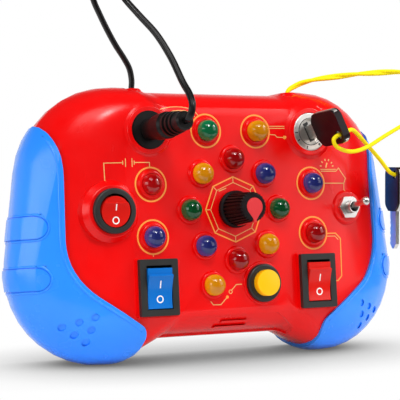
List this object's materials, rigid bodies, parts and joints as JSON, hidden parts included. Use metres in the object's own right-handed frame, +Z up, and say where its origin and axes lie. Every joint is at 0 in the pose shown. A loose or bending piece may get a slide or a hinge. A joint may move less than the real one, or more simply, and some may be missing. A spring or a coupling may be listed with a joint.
{
  "type": "busy board",
  "caption": "Handheld busy board in a game-controller housing, with dome lamps, rocker, toggle and push switches, a dial, a key lock with keys on a string, and a jack with its plug.",
  "frame": {"origin": "on the floor, under the middle of the board's box without its cords and what is on them", "axes": "+X to the right seen from the front, +Y away from the face, +Z up; the face looks towards -Y and leans back"},
  "size_m": [0.2288, 0.0957, 0.1849],
  "materials": {
    "red_plastic": "glossy moulded plastic",
    "blue_plastic": "glossy moulded plastic",
    "black_plastic": "semi-gloss switch body",
    "black_matte": "satin knob",
    "plug_plastic": "satin plug handle",
    "red_paddle": "translucent red paddle",
    "blue_paddle": "translucent blue paddle",
    "yellow_plastic": "glossy yellow cap",
    "pointer_red": "red pointer inlay",
    "lamp_red": "clear red lamp",
    "lamp_blue": "clear blue lamp",
    "lamp_green": "clear green lamp",
    "lamp_yellow": "clear amber lamp",
    "chrome": "polished plating",
    "key_metal": "nickel-plated key",
    "key_plastic": "semi-gloss key bow",
    "steel": "plain steel",
    "cell": "wrapped cell",
    "board": "green circuit board",
    "wire": "insulated leads",
    "cable": "satin cable jacket",
    "string": "yellow string"
  },
  "bodies": {
    "housing": {"front_shell": "red_plastic", "rear_shell": "red_plastic", "battery_cover": "red_plastic", "cable_grommet": "red_plastic", "string_grommet": "red_plastic", "left_grip": "blue_plastic", "right_grip": "blue_plastic", "battery_cover_screw": "steel", "housing_screws": "steel", "board_screws": "steel", "battery_contacts": "steel", "battery_cells": "cell", "circuit_board": "board", "wiring": "wire", "round_rocker_body": "black_plastic", "left_rocker_body": "black_plastic", "right_rocker_body": "black_plastic", "push_button_body": "black_plastic", "push_button_nut": "black_plastic", "push_button_spring": "steel", "potentiometer": "steel", "potentiometer_nut": "steel", "toggle_body": "chrome", "toggle_nut": "chrome", "lock_body": "chrome", "lock_nut": "steel", "spare_key_blade": "key_metal", "spare_key_bow": "key_plastic", "jack_socket": "black_plastic", "jack_nut": "steel", "plug_cable": "cable", "key_string": "string", "ring_lamp_1": "lamp_red", "ring_lamp_2": "lamp_blue", "ring_lamp_3": "lamp_green", "ring_lamp_4": "lamp_yellow", "ring_lamp_5": "lamp_red", "ring_lamp_6": "lamp_blue", "ring_lamp_7": "lamp_green", "ring_lamp_8": "lamp_yellow", "left_upper_lamp": "lamp_red", "left_lower_lamp": "lamp_blue", "right_upper_lamp": "lamp_blue", "right_lower_lamp": "lamp_red", "top_left_lamp": "lamp_green", "top_right_lamp": "lamp_yellow", "bottom_lamp": "lamp_yellow"},
    "round_rocker": {"round_rocker_paddle": "red_paddle"},
    "left_rocker": {"left_rocker_paddle": "blue_paddle"},
    "right_rocker": {"right_rocker_paddle": "red_paddle"},
    "push_button": {"push_button_cap": "yellow_plastic"},
    "dial": {"potentiometer_shaft": "steel", "knob": "black_matte", "knob_pointer": "pointer_red"},
    "toggle": {"toggle_lever": "chrome"},
    "lock_key": {"lock_cylinder": "chrome", "key_blade": "key_metal", "key_bow": "key_plastic"},
    "plug": {"plug_body": "plug_plastic", "plug_pin": "chrome"}
  },
  "joints": [
    {"name": "round_rocker_tilt", "type": "hinge", "parent": "housing", "child": "round_rocker", "pos_m": [-0.0646, -0.0157, 0.07296], "axis": [1, 0, 0], "range_deg": [-18, 0]},
    {"name": "left_rocker_tilt", "type": "hinge", "parent": "housing", "child": "left_rocker", "pos_m": [-0.0436, -0.01853, 0.03736], "axis": [1, 0, 0], "range_deg": [-18, 0]},
    {"name": "right_rocker_tilt", "type": "hinge", "parent": "housing", "child": "right_rocker", "pos_m": [0.0436, -0.01853, 0.03736], "axis": [1, 0, 0], "range_deg": [-18, 0]},
    {"name": "push_button_press", "type": "slide", "parent": "housing", "child": "push_button", "axis": [0, 0.9954, -0.0958], "range_m": [0, 0.0025], "stiffness_N_per_m": 400, "springref_m": -0.001, "deforming": ["push_button_spring"]},
    {"name": "dial_turn", "type": "hinge", "parent": "housing", "child": "dial", "pos_m": [0, -0.01351, 0.07274], "axis": [0, -0.9954, 0.0958], "range_deg": [-300, 0]},
    {"name": "toggle_flip", "type": "hinge", "parent": "housing", "child": "toggle", "pos_m": [0.0646, -0.0155, 0.07294], "axis": [1, 0, 0], "range_deg": [0, 16]},
    {"name": "lock_turn", "type": "hinge", "parent": "housing", "child": "lock_key", "pos_m": [0.044, -0.00991, 0.11017], "axis": [0, -0.9954, 0.0958], "range_deg": [-24, 66], "deforming": ["key_string"]},
    {"name": "plug_pull", "type": "slide", "parent": "housing", "child": "plug", "axis": [0, -0.9954, 0.0958], "range_m": [0, 0.014], "deforming": ["plug_cable"]}
  ]
}
